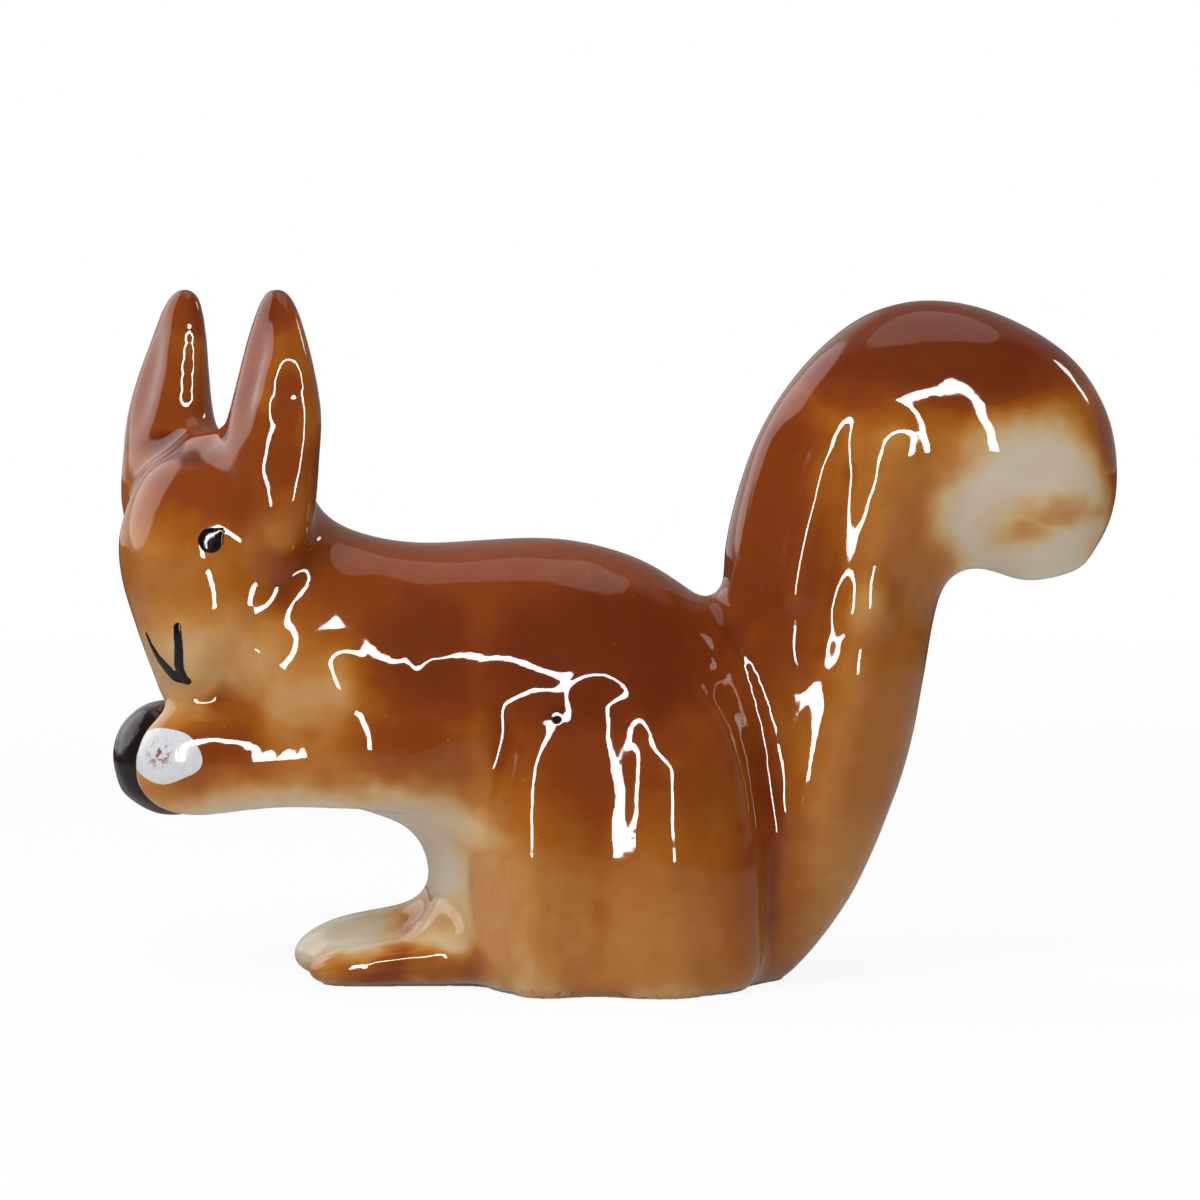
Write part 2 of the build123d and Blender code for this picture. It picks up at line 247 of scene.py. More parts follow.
class Clay:
    """A mesh held as arrays of points and edges, in millimetres."""

    def __init__(self, mesh):
        self.mesh = mesh
        self.points = points_of(mesh)
        pairs = np.empty(2 * len(mesh.edges), np.int32)
        mesh.edges.foreach_get("vertices", pairs)
        self.edges = pairs.reshape(-1, 2).T
        self.neighbours = np.bincount(pairs, minlength=len(self.points))

    def towards_mean(self, values, edges=None):
        """For each point, how far the mean of its neighbours lies from it."""
        first, second = self.edges if edges is None else edges
        mean = np.empty_like(values)
        for axis in range(values.shape[1]):
            column = values[:, axis]
            total = np.bincount(first, column[second], len(values))
            total += np.bincount(second, column[first], len(values))
            mean[:, axis] = total / self.neighbours
        return mean - values

    def sponge(self, rounds, mask=None, keep=True):
        """Smooths the points under the mask. With keep, what is round stays as large as it was."""
        edges, share = None, 1.0
        if mask is not None:
            edges = self.edges[:, (mask[self.edges] > 0).any(0)]
            share = mask[:, None]
        for _ in range(rounds):
            self.points += STEP_IN * share * self.towards_mean(self.points, edges)
            if keep:
                self.points += STEP_BACK * share * self.towards_mean(self.points, edges)

    def outward(self):
        """The outward direction at each point."""
        return normals_of(moved(self.mesh, self.points))

    def around(self, centre, reach):
        """A mask that fades from 1 at the centre to 0 at the reach, in each direction."""
        return fade(np.linalg.norm((self.points - centre) / reach, axis=1))

    def stroke(self, start, finish, radius, lift):
        """Raises the skin along a line, or presses it in where lift is negative."""
        line = np.subtract(finish, start)
        along = np.clip((self.points - start) @ line / (line @ line), 0, 1)
        away = np.linalg.norm(self.points - start - along[:, None] * line, axis=1)
        self.points += lift * fade(away / radius)[:, None] * self.outward()

    def tree(self):
        """A search tree of the surface, to find points on it."""
        moved(self.mesh, self.points)
        corners = [Vector(point) for point in self.points]
        return BVHTree.FromPolygons(corners, [list(face.vertices) for face in self.mesh.polygons])

    def thing(self, name, material, slot, *nodes):
        """The clay as a finished object, in metres, which stands for measured nodes."""
        moved(self.mesh, self.points / MM)
        self.mesh.name = name
        self.mesh.shade_smooth()
        self.mesh.materials.append(material)
        made = bpy.data.objects.new(name, self.mesh)
        bpy.context.scene.collection.objects.link(made)
        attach(made, "root")
        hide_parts(*nodes)
        print(name, "has", len(self.points), "points")


# %% [markdown]
# ## Sponged and pressed
# The whole skin is wiped, so that no facet of the remesh is left. The haunch, the nape and the
# shoulders are wiped for longer, because on the real figure they flow into the body without a
# crease. Then come the thumb marks, which steer the long reflections: two lobes on each haunch with
# a dent between them, a full upper foreleg, a ridge along the side of the tail, a full cheek. Most
# are pressed on both sides, and a few on the near side of the head alone.

# %% Work the skin
WHOLE_ROUNDS = 30
skin = Clay(skin_mesh)
skin.sponge(WHOLE_ROUNDS)
skin.sponge(WHOLE_ROUNDS, keep=False)
WIPED = (  # centre, reach and rounds of the sponge
    ((-19.5, 0.0, 30.5), (7.0, 9.0, 5.5), 300),  # nape
    ((-17.0, 0.0, 19.0), (6.0, 12.0, 5.0), 120),  # shoulders
    ((-2.0, -10.0, 24.0), (13.0, 6.0, 7.0), 400),  # top of the near haunch
    ((-2.0, 10.0, 24.0), (13.0, 6.0, 7.0), 400),
    ((-10.5, -8.5, 12.0), (4.5, 6.0, 12.0), 250),  # front of the near haunch
    ((-10.5, 8.5, 12.0), (4.5, 6.0, 12.0), 250),
    ((20.0, 0.0, 34.0), (12.0, 12.0, 16.0), 60),  # tail
)
for centre, reach, rounds in WIPED:
    skin.sponge(rounds, skin.around(centre, reach), keep=False)
THUMBED = (  # start and end of the stroke, its radius and its lift
    ((-16.5, 8.0, 17.2), (-12.0, 9.0, 17.2), 5.2, 1.10),  # upper foreleg
    ((-15.0, 7.0, 26.0), (-6.0, 7.5, 26.0), 5.0, -0.55),  # above the shoulder
    ((-19.4, 7.0, 23.0), (-18.8, 7.4, 21.6), 2.6, 0.45),  # chest
    ((-12.8, 8.0, 23.2), (-12.7, 8.0, 23.1), 1.7, 0.20),  # shoulder
    ((-5.7, 10.5, 19.0), (-5.5, 11.5, -4.0), 3.2, 0.70),  # front lobe of the haunch
    ((-0.9, 11.6, 20.5), (-1.1, 12.5, -4.0), 3.2, -0.70),  # dent
    ((3.7, 11.5, 15.8), (4.2, 11.0, -4.0), 3.2, 0.47),  # rear lobe
    ((4.0, 9.5, 22.5), (5.0, 9.5, 22.0), 5.0, -0.40),  # above the rear lobe
    ((12.2, 4.6, 38.0), (10.3, 4.6, 27.0), 3.0, -0.45),  # front face of the tail
    ((15.2, 6.2, 40.0), (12.6, 6.2, 28.0), 1.8, 0.16),  # edge of that face
    ((16.6, 6.4, 36.0), (14.6, 6.8, 24.0), 2.2, -0.25),  # between edge and ridge
    ((19.4, 6.5, 38.2), (18.0, 6.8, 27.0), 3.2, 0.50),  # ridge of the tail
    ((18.0, 6.8, 27.0), (14.5, 5.5, 13.0), 3.2, 0.50),
    ((21.0, 6.5, 38.5), (27.0, 6.0, 38.5), 5.0, 0.30),  # below the arc of the tail
    ((33.0, 8.0, 41.0), (33.5, 8.0, 33.0), 8.5, -1.30),  # rear of the curl
)
for (x, y, z), (next_x, next_y, next_z), radius, lift in THUMBED:
    for side in (-1, 1):
        skin.stroke((x, side * y, z), (next_x, side * next_y, next_z), radius, lift)
NEAR_SIDE = (  # the same, on the near side of the head
    ((-29.8, -6.2, 24.0), (-27.2, -6.8, 24.8), 5.4, 1.50),  # near cheek
    ((-32.0, -5.0, 28.6), (-32.0, -5.0, 30.0), 3.4, 0.35),  # below the brow
    ((-24.2, -8.0, 46.8), (-24.8, -8.4, 42.0), 2.4, 0.45),  # ridge of the near ear
    ((-22.6, -8.2, 42.0), (-23.0, -8.4, 37.0), 2.6, -0.40),  # lower half of that ear
)
for start, finish, radius, lift in NEAR_SIDE:
    skin.stroke(start, finish, radius, lift)
print("skin box, mm:", skin.points.min(0).round(2), skin.points.max(0).round(2))

# %% [markdown]
# ## Hand of the maker
# Nothing on such a figure is exact. Long random waves, a few hundredths of a millimetre high, make
# each long reflection wander as it does on real glaze. A Displace modifier with a noise texture
# could do it, but a sum of plane waves is smoother and its lengths are known. The same step adds
# the thickness of the glaze.

# %% Unevenness
GLAZE = 0.10
SKIN_SWELLS = ((0.050, 9.0), (0.007, 4.0))  # height and length of the waves
chance = np.random.default_rng(12)


def waves(where, length, count=32):
    """A smooth random height about 1 high, from plane waves of one length."""
    ways = chance.normal(size=(count, 3))
    ways /= np.linalg.norm(ways, axis=1, keepdims=True)
    starts = chance.uniform(0, 2 * math.pi, count)
    return np.cos(where @ ways.T * (2 * math.pi / length) + starts).sum(1) / math.sqrt(count / 2)


def swell(clay, base, swells):
    """Raises the whole surface by a base height, and by waves of several lengths."""
    height = np.full(len(clay.points), base)
    for size, length in swells:
        height += size * waves(clay.points, length)
    clay.points += height[:, None] * clay.outward()
    print("raised by, mm:", height.min().round(2), "to", height.max().round(2))


swell(skin, GLAZE, SKIN_SWELLS)

# %% [markdown]
# ## Base and drain hole
# The figure stands on a flat face, where the glaze was wiped off. Every point that lies almost at
# the table is put on it, and the points over the drain hole sink into the clay.

# %% Flat base and drain hole
BASE_CUT = 0.12
DRAIN_DEPTH, DRAIN_LIP = 3.0, 0.5
height = skin.points[:, 2]
height[height < BASE_CUT] = 0.0
from_drain = np.linalg.norm(skin.points[:, :2] - np.array(DRAIN_PLACE)[:2], axis=1)
sunk = fade((from_drain - DRAIN_RADIUS + DRAIN_LIP) / DRAIN_LIP) * (height < 2 * BASE_CUT)
height += DRAIN_DEPTH * sunk
print("points in the drain hole:", int((sunk > 0).sum()))

# %% [markdown]
# ## Where the glaze pools, and where shade is painted
# Molten glaze runs thin over edges and gathers in hollows, where it is darker. The darkening in
# the hollows is also painted shade, the shade that falls in the creases. How far a point lies below
# the mean surface around it says how hollow the place is. It is stored on the mesh as an
# attribute, so that the material can read it.

# %% Measure the hollows
HOLLOW_ROUNDS = 60
around_points = skin.points.copy()
for _ in range(HOLLOW_ROUNDS):
    around_points += STEP_IN * skin.towards_mean(around_points)
hollow = ((around_points - skin.points) * skin.outward()).sum(1)
print("hollows, mm:", hollow.min().round(2), hollow.max().round(2))
pool = skin.mesh.attributes.new("pool", "FLOAT", "POINT")
pool.data.foreach_set("value", hollow.astype(np.float32))

# %% [markdown]
# ## Shader maths
# A finish is a tree of nodes. It could be wired up node by node, but written as sums it stays
# readable. So one small class wraps a socket, and + - * on it add Math nodes.

# %% Sockets in sums
class Wire:
    """A socket that can be used in sums."""

    def __init__(self, bench, socket):
        self.bench, self.socket = bench, socket

    def math(self, operation, *values):
        """A Math node on these values."""
        return self.bench.node("Math", {"operation": operation}, dict(enumerate(values)))

    def __add__(self, other):
        return self.math("ADD", self, other)

    def __sub__(self, other):
        return self.math("SUBTRACT", self, other)

    def __rsub__(self, other):
        return self.math("SUBTRACT", other, self)

    def __mul__(self, other):
        return self.math("MULTIPLY", self, other)

    __radd__, __rmul__ = __add__, __mul__

    def at_least(self, other):
        """The larger of both."""
        return self.math("MAXIMUM", self, other)


# %% [markdown]
# ## A bench for nodes
# A bench holds one tree of nodes. A single method makes every kind of node, and the ones that the
# finishes use often have short names of their own. The room and all materials are made on benches.

# %% Bench
class Bench:
    """A node tree, and the one method that adds nodes to it."""

    def __init__(self, tree):
        self.tree = tree

    def node(self, kind, settings=None, sockets=None, out=0):
        """A new node: its settings are set first, then its sockets."""
        made = self.tree.nodes.new("ShaderNode" + kind)
        for name, value in (settings or {}).items():
            if name == "stops":
                while len(made.color_ramp.elements) < len(value):
                    made.color_ramp.elements.new(0)
                for element, (position, colour) in zip(made.color_ramp.elements, value):
                    element.position, element.color = position, colour
            else:
                setattr(made, name, value)
        for name, value in (sockets or {}).items():
            self.join(value, made.inputs[name])
        return Wire(self, made.outputs[out])

    def join(self, value, socket):
        """Links a wire to a socket, or sets the socket to a constant."""
        if isinstance(value, Wire):
            self.tree.links.new(value.socket, socket)
        else:
            socket.default_value = value

    def vector(self, operation, first, second=(0, 0, 0), out=0):
        """A Vector Math node."""
        return self.node("VectorMath", {"operation": operation}, {0: first, 1: second}, out)

    def blend(self, first, second, share):
        """The first colour, turning into the second as share goes to 1."""
        return self.node("Mix", {"data_type": "RGBA"}, {0: share, 6: first, 7: second}, out=2)

    def ease(self, value, low, high, start=0.0, end=1.0):
        """A soft step from start to end, while value goes from low to high."""
        sockets = {0: value, 1: low, 2: high, 3: start, 4: end}
        return self.node("MapRange", {"interpolation_type": "SMOOTHSTEP"}, sockets)

    def noise(self, where, scale, detail=2.0, out=0):
        """Clouds around 0.5, with so many to the millimetre, or as a colour with out=1."""
        sockets = {"Vector": where, "Scale": scale, "Detail": detail}
        return self.node("TexNoise", {}, sockets, out)

    def part(self, vector, axis):
        """One axis of a vector."""
        return self.node("SeparateXYZ", {}, {0: vector}, axis)

    def spot(self, where, centre, reach, soft):
        """A sprayed spot: 1 inside, fading over a soft rim to 0."""
        away = self.vector("SUBTRACT", where, centre)
        away = self.vector("DIVIDE", away, reach)
        return self.ease(self.vector("LENGTH", away, out="Value"), 1 + soft, 1 - soft)


# %% [markdown]
# ## A bench for a material
# A finish is the bench of one material. It knows the material's main shader, lays one colour over
# the other as a decorator does, and turns small heights into bumps. Colours are written as they
# look on a screen, because that is how they are picked.

# %% Finish and pigment
class Finish(Bench):
    """The bench of a new material, whose main shader starts with some constants."""

    def __init__(self, name, **constants):
        self.material = bpy.data.materials.new(name)
        self.material.use_nodes = True
        super().__init__(self.material.node_tree)
        self.shader = self.tree.nodes["Principled BSDF"]
        self.colour = None
        for socket, value in constants.items():
            self.set(socket, value)

    def set(self, name, value):
        """Feeds one socket of the main shader."""
        self.join(value, self.shader.inputs[name])

    def tint(self, colour, share):
        """Lays a colour over the ones laid before, where share is 1."""
        self.colour = colour if self.colour is None else self.blend(self.colour, colour, share)
        self.set("Base Color", self.colour)

    def place(self):
        """Where the surface is, in millimetres in the figure's frame."""
        return self.vector("MULTIPLY", self.node("TexCoord", out="Object"), (MM, MM, MM))

    def rough(self, height, depth):
        """Bumps of this height, in millimetres, in the light that the surface gives back."""
        sockets = {"Strength": 1.0, "Distance": depth / MM, "Height": height}
        self.set("Normal", self.node("Bump", {}, sockets, "Normal"))


def pigment(red, green, blue):
    """A colour as it looks on a screen, 0 to 255, turned into the light that it gives back."""

    def light(level):
        level /= 255
        return level / 12.92 if level <= 0.04045 else ((level + 0.055) / 1.055) ** 2.4

    return (light(red), light(green), light(blue), 1.0)


# %% [markdown]
# ## The brown glaze
# One brown stain was sprayed over white clay, and how thickly it lies makes the colours of the
# figure: cream where it is missing, then pale amber, amber, and red brown along the back. Every
# colour could be painted by itself, but here the finish works out one number, the thickness of the
# stain, and a ramp turns that into colour. Thick and thin clouds are soft spots: each row holds a
# centre and a reach in millimetres, how soft the rim is, and how much stain it adds or takes. One
# thick spot, in the crevice between the ears, is painted shade. A slow noise moves the place that
# all of them read, so that no rim is a clean oval.

# %% Thickness of the stain
STAIN = (
    (0.00, pigment(206, 194, 172)),
    (0.20, pigment(204, 168, 118)),
    (0.38, pigment(184, 124, 60)),
    (0.55, pigment(162, 92, 26)),
    (0.75, pigment(134, 62, 20)),
    (1.00, pigment(108, 44, 16)),
)
THICK_SPOTS = (
    ((-1.0, 0.0, 23.5), (10.0, 40.0, 6.5), 0.5, 0.50),  # flank
    ((-7.0, 0.0, 28.5), (17.0, 40.0, 5.5), 0.4, 0.27),  # back
    ((-13.0, 0.0, 24.0), (4.5, 40.0, 5.5), 0.6, 0.45),  # shoulder
    ((-0.5, 0.0, 18.5), (8.0, 40.0, 7.0), 0.6, 0.31),  # thigh
    ((7.0, 0.0, 19.0), (5.0, 40.0, 8.0), 0.7, 0.22),  # rump
    ((-18.0, 0.0, 29.5), (6.0, 40.0, 5.0), 0.6, 0.24),  # neck
    ((-27.0, 0.0, 36.5), (8.0, 40.0, 4.5), 0.5, 0.27),  # crown
    ((-28.0, 0.0, 43.5), (10.0, 40.0, 8.0), 0.3, 0.27),  # ears
    ((-24.3, 0.0, 50.0), (3.4, 40.0, 4.2), 0.7, 0.60),  # ear tips
    ((-30.0, 0.0, 49.0), (3.2, 40.0, 3.6), 0.7, 0.55),
    ((-13.9, 0.0, 17.5), (4.0, 40.0, 3.2), 0.7, 0.28),  # elbow
    ((-27.8, -6.0, 17.6), (3.4, 7.0, 2.4), 0.7, 0.34),  # paws
    # Painted shade: the next spot darkens the crevice between the ears, where shade falls.
    ((-31.2, 0.0, 38.0), (3.6, 40.0, 1.2), 0.8, 0.60),  # between the ears
    ((21.0, 0.0, 46.5), (16.0, 40.0, 5.5), 0.45, 0.48),  # top of the tail
    ((36.2, 0.0, 40.0), (2.0, 40.0, 6.0), 0.6, 0.26),  # rim of the curl
    ((11.0, 0.0, 33.0), (4.0, 40.0, 13.0), 0.6, 0.34),  # front of the tail
    ((10.0, 0.0, 12.0), (3.0, 40.0, 8.0), 0.7, 0.20),  # root of the tail
)
THIN_SPOTS = (
    ((-12.6, 0.0, 6.5), (2.8, 14.0, 8.5), 0.6, 1.0),  # belly
    ((-9.0, 0.0, 5.0), (3.8, 40.0, 9.0), 0.6, 0.30),  # front of the haunches
    ((-2.0, 0.0, 3.0), (9.0, 40.0, 4.5), 0.6, 0.12),
    ((-22.0, 0.0, 21.0), (3.8, 40.0, 2.8), 0.8, 0.36),  # chest
    ((-20.0, 0.0, 11.4), (11.0, 40.0, 3.0), 0.5, 1.0),  # under the forelegs
    ((-29.5, -2.5, 22.5), (6.5, 6.5, 4.6), 0.55, 0.42),  # muzzle
    ((-25.3, 0.0, 23.0), (3.0, 40.0, 3.0), 0.8, 0.36),  # jaw
    ((-20.0, 0.0, 3.6), (5.0, 40.0, 2.2), 0.6, 1.0),  # feet
    ((29.2, 0.0, 33.4), (6.0, 40.0, 6.8), 0.34, 0.96),  # curl of the tail
    ((17.5, 0.0, 6.0), (4.0, 40.0, 5.0), 0.7, 0.30),  # behind the root of the tail
)
STAIN_BASE = 0.5  # where there is no spot
DRIFT = 3.5  # how far the noise moves a rim
GRAIN = 0.11

glaze = Finish("brown_glaze", IOR=1.5)
place = glaze.place()
drift = glaze.vector("SUBTRACT", glaze.noise(place, 0.22, out=1), (0.5, 0.5, 0.5))
sprayed = glaze.vector("ADD", place, glaze.vector("MULTIPLY", drift, (DRIFT, DRIFT, DRIFT)))


def cloud(spots):
    """The heaviest of several sprayed spots at each place."""
    heaviest = None
    for centre, reach, soft, amount in spots:
        spot = glaze.spot(sprayed, centre, reach, soft) * amount
        heaviest = spot if heaviest is None else spot.at_least(heaviest)
    return heaviest


thin = cloud(THIN_SPOTS)
stain = (STAIN_BASE + cloud(THICK_SPOTS)) * (1 - thin)
grain = glaze.noise(place, 0.7, detail=5.0) - 0.5
stain = stain + grain * GRAIN
print("spots of stain:", len(THICK_SPOTS), "thick and", len(THIN_SPOTS), "thin")

# %% [markdown]
# ## Pools, painted shade and brush marks
# Stain and glaze collect in the creases, and leave the rims of the ears bare: the attribute that
# was measured above says where, and the darkening in the creases is also painted shade. A brush
# with little left on it was drawn over the curl of the tail, the toes and the ankles. Those marks
# are sprayed spots too, only long and flat.

# %% Pools, painted shade and brush marks
POOL_AND_SHADE_RANGE, POOLED_AND_SHADED = (0.02, 0.22), 0.35
EDGE_RANGE, DRAINED = (-0.05, -0.25), 0.18
hollowness = glaze.node("Attribute", {"attribute_name": "pool"}, out="Fac")
# Glaze pooling and painted shade: more stain where the surface is hollow darkens the creases.
stain = stain + glaze.ease(hollowness, *POOL_AND_SHADE_RANGE) * POOLED_AND_SHADED
stain = stain - glaze.ease(hollowness, *EDGE_RANGE) * DRAINED
BRUSHED = (
    ((31.0, -6.5, 33.6), (3.4, 5.0, 0.9), 0.9, 0.34),  # curl of the tail
    ((28.6, -6.5, 32.4), (1.8, 5.0, 1.1), 0.9, 0.34),
    ((30.5, 6.5, 32.0), (3.6, 5.0, 0.9), 0.9, 0.34),
    ((-14.5, -6.0, 1.4), (6.0, 3.0, 1.3), 0.7, 0.50),  # outer side of the near foot
    ((-21.5, -4.5, 1.6), (1.8, 3.0, 1.2), 0.8, 0.40),  # toes
    ((-12.6, 0.0, 4.6), (2.2, 7.0, 1.6), 0.8, 0.34),  # ankles
    ((-14.5, 6.0, 1.4), (6.0, 3.0, 1.3), 0.7, 0.46),
)
stain = stain + cloud(BRUSHED)
print("brush marks:", len(BRUSHED))

# %% [markdown]
# ## Kiln dust and the bare base
# Fine dark specks and sandy crumbs lie in the glaze. They are the cores of random cells, and a
# noise leaves most cells out, so that they don't look like a pattern. One bubble burst on the
# haunch and left a black pinhole. The base was wiped clean, so that the figure didn't stick to the
# kiln shelf: it is matt white clay, with a row of specks at its edge.

# %% Specks, pinhole and base
def dust(where, cells, core, fields, allowed):
    """Small grains at the cores of random cells, in the fields where a noise allows them."""
    away = glaze.node("TexVoronoi", {}, {"Vector": where, "Scale": cells}, "Distance")
    return glaze.ease(away, *core) * glaze.ease(glaze.noise(place, fields), *allowed)


speck = dust(place, 1.5, (0.085, 0.045), 0.5, (0.48, 0.62))
crumb = dust(sprayed, 0.9, (0.075, 0.035), 0.35, (0.52, 0.62))
PINHOLE = (-4.0, -12.0, 19.5)
pinhole = glaze.spot(place, PINHOLE, (0.32, 4.0, 0.32), 0.6)
halo = glaze.spot(place, PINHOLE, (0.8, 4.0, 0.7), 0.8)
level = glaze.part(place, "Z")
facing_down = glaze.part(glaze.node("NewGeometry", out="Normal"), "Z")
bare = glaze.ease(facing_down, -0.75, -0.95) * glaze.ease(level, 0.3, 0.05)
rim = glaze.ease(level, 0.75, 0.25) * glaze.ease(glaze.noise(place, 3.2, detail=1.0), 0.54, 0.64)
print("glaze nodes so far:", len(glaze.tree.nodes))

# %% [markdown]
# ## All colours of the skin
# The ramp gives the colour of the stain, and the small marks are laid over it one by one. The dark
# paint of the nut runs over on to the rims of the paws, so the skin takes that colour in front of
# the paws, up to the chin. Real glaze is a clear coat. A second glossy layer could stand for it, but
# one glossy surface looks the same from outside, and fine ripples in it make the reflections bend.

# %% Colour, gloss and ripples
PAW_MIDDLE, PAW_REACH, CHIN_LEVEL = (-29.6, 0.0, 16.2), (4.8, 40.0, 4.8), 20.2
PAINT_START, PAINT_FULL = -31.0, -31.4
EARTH, SOOT, BISQUE = pigment(92, 40, 16), pigment(26, 16, 12), pigment(222, 212, 196)
SAND, NUT_BROWN = pigment(222, 160, 92), pigment(38, 28, 27)
CRUMB_SHARE, SPECK_SHARE, RIM_SHARE, HALO_SHARE, SOOT_SHARE = 0.55, 0.6, 0.5, 0.35, 0.9
GLAZE_ROUGHNESS, BISQUE_ROUGHNESS = 0.045, 0.75
RIPPLE_DEPTH, FINE_RIPPLE, PINHOLE_DEPTH = 0.045, 0.12, 0.4
off_paw = 1 - glaze.spot(place, PAW_MIDDLE, PAW_REACH, 0.02)
off_paw = off_paw * glaze.ease(level, CHIN_LEVEL + 0.1, CHIN_LEVEL - 0.1)
off_paw = off_paw * glaze.ease(glaze.part(place, "X"), PAINT_START, PAINT_FULL)
glaze.tint(glaze.node("ValToRGB", {"stops": STAIN}, {0: stain}), 1.0)
glaze.tint(SAND, crumb * CRUMB_SHARE)
glaze.tint(EARTH, speck * SPECK_SHARE)
glaze.tint(EARTH, rim * RIM_SHARE)
glaze.tint(SOOT, (pinhole + halo * HALO_SHARE) * SOOT_SHARE)
glaze.tint(NUT_BROWN, off_paw)
glaze.tint(BISQUE, bare)
glaze.set("Roughness", GLAZE_ROUGHNESS + BISQUE_ROUGHNESS * bare)
ripple = glaze.noise(place, 0.5, detail=0.0)
ripple = ripple + glaze.noise(place, 1.3, detail=1.0) * FINE_RIPPLE
glaze.rough(ripple - pinhole * PINHOLE_DEPTH, RIPPLE_DEPTH)
skin_tree, skin_slopes = skin.tree(), skin.outward()
skin.thing("glazed_skin", glaze.material, "brown_glaze", "body", "tail", "head", "left_ear",
           "right_ear", "left_foreleg", "right_foreleg", "left_hind_foot", "right_hind_foot")
print("glaze nodes:", len(glaze.tree.nodes))

# %% [markdown]
# ## Enamel films
# Eyes, mouth and the white patch on the paw were painted on over the glaze. They could be colours
# in the glaze's own material, but each is a piece of its own and stands out a little. So a filled
# mark is a thin film: the skin inside an outline, lifted by a few hundredths of a millimetre.
# Towards its rim the film sinks below the skin, so its edge is a clean line, and the Solidify
# modifier gives it a back. How far out a point of the skin lies is given as a share, which is 1 on
# the rim.

# %% Films of enamel
FILM_HEIGHT, FILM_DEPTH, FILM_REACH = 0.07, 0.25, 1.25


def film(name, share, material, slot, node):
    """A film of enamel over the points of the skin whose share is below 1."""
    inside = share < FILM_REACH
    covered = [face.vertices[:] for face in skin.mesh.polygons if inside[list(face.vertices)].all()]
    used = sorted({corner for face in covered for corner in face})
    number = {corner: place for place, corner in enumerate(used)}
    lift = FILM_HEIGHT * (1 - share[used] ** 4)
    corners = skin.points[used] + lift[:, None] * skin_slopes[used]
    faces = [[number[corner] for corner in face] for face in covered]
    sheet = bpy.data.meshes.new("sheet")
    sheet.from_pydata(corners, [], faces)
    mark = Clay(shaped(sheet, "SOLIDIFY", thickness=FILM_DEPTH, offset=-1))
    mark.thing(name, material, slot, node)


# %% [markdown]
# ## Enamel
# Black and white are the same enamel with another pigment in it: glossy, a little streaky from the
# brush, and with a gloss that isn't quite even. One function makes both.

# %% Enamel finish
ENAMEL_ROUGHNESS, STREAK_ROUGHNESS, STREAK_DEPTH = 0.05, 0.08, 0.01
STREAK_SHAPE = (1.0, 1.0, 0.3)


def enamel_finish(name, colour):
    """Enamel with a slightly uneven gloss and fine brush ripples."""
    enamel = Finish(name, IOR=1.5)
    place = enamel.place()
    streaks = enamel.noise(enamel.vector("MULTIPLY", place, STREAK_SHAPE), 5.0, detail=3.0)
    light, dark = colour
    enamel.tint(light, 1.0)
    enamel.tint(dark, enamel.ease(streaks, 0.65, 0.35))
    enamel.set("Roughness", ENAMEL_ROUGHNESS + STREAK_ROUGHNESS * streaks)
    enamel.rough(streaks, STREAK_DEPTH)
    return enamel


# %% [markdown]
# ## Eyes
# The eye is one round dot of black, with a smear where the brush was lifted. The measured dot says
# where it sits. It could stay a bead, but on the real face the paint lies flat. Each point takes
# its share from the nearer of two circles, so one film covers the dot and its smear.

# %% Eyes
BLACK = (pigment(24, 20, 22), pigment(10, 8, 10))
black = enamel_finish("black_enamel", BLACK)
EYE_RADIUS = 0.92
SMEAR_ACROSS, SMEAR_UP, SMEAR_RADIUS = 0.62, 0.62, 0.42

for side in ("left", "right"):
    low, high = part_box(side + "_eye")
    spot, slope, _, _ = skin_tree.find_nearest((Vector(low) + Vector(high)) / 2 * MM)
    across = Vector((0, 0, 1)).cross(slope).normalized()
    smear = spot + across * SMEAR_ACROSS + slope.cross(across) * SMEAR_UP
    from_dot = np.linalg.norm(skin.points - np.array(spot), axis=1) / EYE_RADIUS
    from_smear = np.linalg.norm(skin.points - np.array(smear), axis=1) / SMEAR_RADIUS
    share = np.minimum(from_dot, from_smear)
    film("painted_" + side + "_eye", share, black.material, "black_enamel", side + "_eye")

# %% [markdown]
# ## White patch
# The near paw carries a patch of bluish white, an uneven oval with some brown speckle in its
# middle. Its outline is given as the picture shows it, along x and up z in millimetres, so each
# point of the skin is first carried along its line to the camera, into the picture's plane. Points
# that face away from the camera are left out, and a few waves round the rim keep it uneven.

# %% White patch
PATCH_MIDDLE, PATCH_REACH = (-31.95, 15.95), (2.4, 2.0)
RIM_WAVES = ((0.05, 3, 0.5), (0.03, 5, 2.0))  # height, how many round the rim, where they start
SPECKLE_MIDDLE, SPECKLE_REACH, SPECKLE_SOFT = (-32.0, 0.0, 16.6), (0.95, 9.0, 1.0), 0.5
LEFT_OUT = 9.0
camera_place = camera.location * MM
lens = np.array(camera_place)
from_camera = skin.points - lens
pictured = lens + from_camera * (-lens[1] / from_camera[:, 1])[:, None]
across = (pictured[:, 0] - PATCH_MIDDLE[0]) / PATCH_REACH[0]
up = (pictured[:, 2] - PATCH_MIDDLE[1]) / PATCH_REACH[1]
bearing = np.arctan2(up, across)
rim_reach = np.ones(len(bearing))
for size, count, start in RIM_WAVES:
    rim_reach += size * np.cos(count * bearing + start)
share = np.hypot(across, up) / rim_reach
share[(skin_slopes * from_camera).sum(1) > 0] = LEFT_OUT

